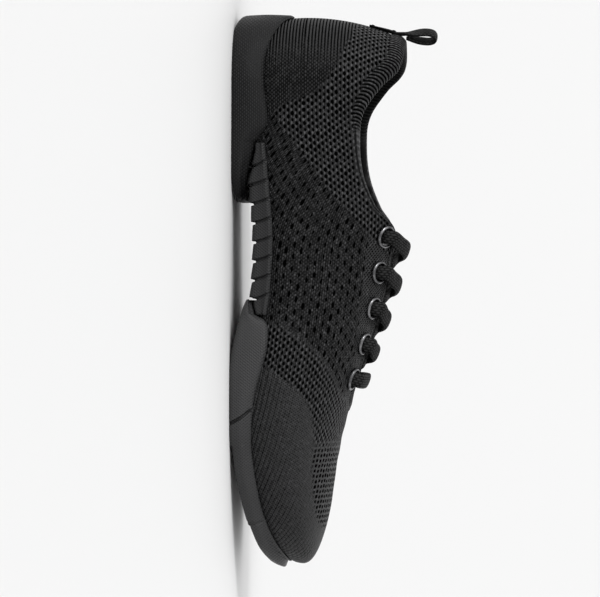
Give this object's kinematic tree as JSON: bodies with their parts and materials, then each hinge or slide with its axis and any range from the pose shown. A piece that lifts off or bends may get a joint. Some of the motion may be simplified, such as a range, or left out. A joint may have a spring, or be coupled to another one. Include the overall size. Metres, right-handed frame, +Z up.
{
  "type": "dance sneaker",
  "caption": "Low black knit dance and cheer sneaker with a split rubber sole, ribbed arch, laced throat with metal eyelets and a webbing loop at the heel.",
  "frame": {"origin": "on the floor under the middle of the shoe's box", "axes": "+X to the toe, +Y to the inner side of the foot, +Z up"},
  "size_m": [0.25, 0.0906, 0.0908],
  "materials": {
    "knit": "knitted, matte",
    "lining": "woven, matte",
    "rubber": "moulded, matte",
    "lace": "braided, matte",
    "webbing": "woven, matte",
    "eyelet_metal": "gunmetal, satin"
  },
  "bodies": {
    "root": {"upper": "knit", "tongue": "knit", "insole": "lining", "heel_sole": "rubber", "forefoot_sole": "rubber", "arch_bridge": "rubber", "lace_bar": "lace", "pull_loop": "webbing", "lace_cross_1": "lace", "lace_cross_2": "lace", "lace_cross_3": "lace", "lace_cross_4": "lace", "eyelet_inner_1": "eyelet_metal", "eyelet_inner_2": "eyelet_metal", "eyelet_inner_3": "eyelet_metal", "eyelet_inner_4": "eyelet_metal", "eyelet_inner_5": "eyelet_metal", "eyelet_outer_1": "eyelet_metal", "eyelet_outer_2": "eyelet_metal", "eyelet_outer_3": "eyelet_metal", "eyelet_outer_4": "eyelet_metal", "eyelet_outer_5": "eyelet_metal"}
  },
  "joints": []
}
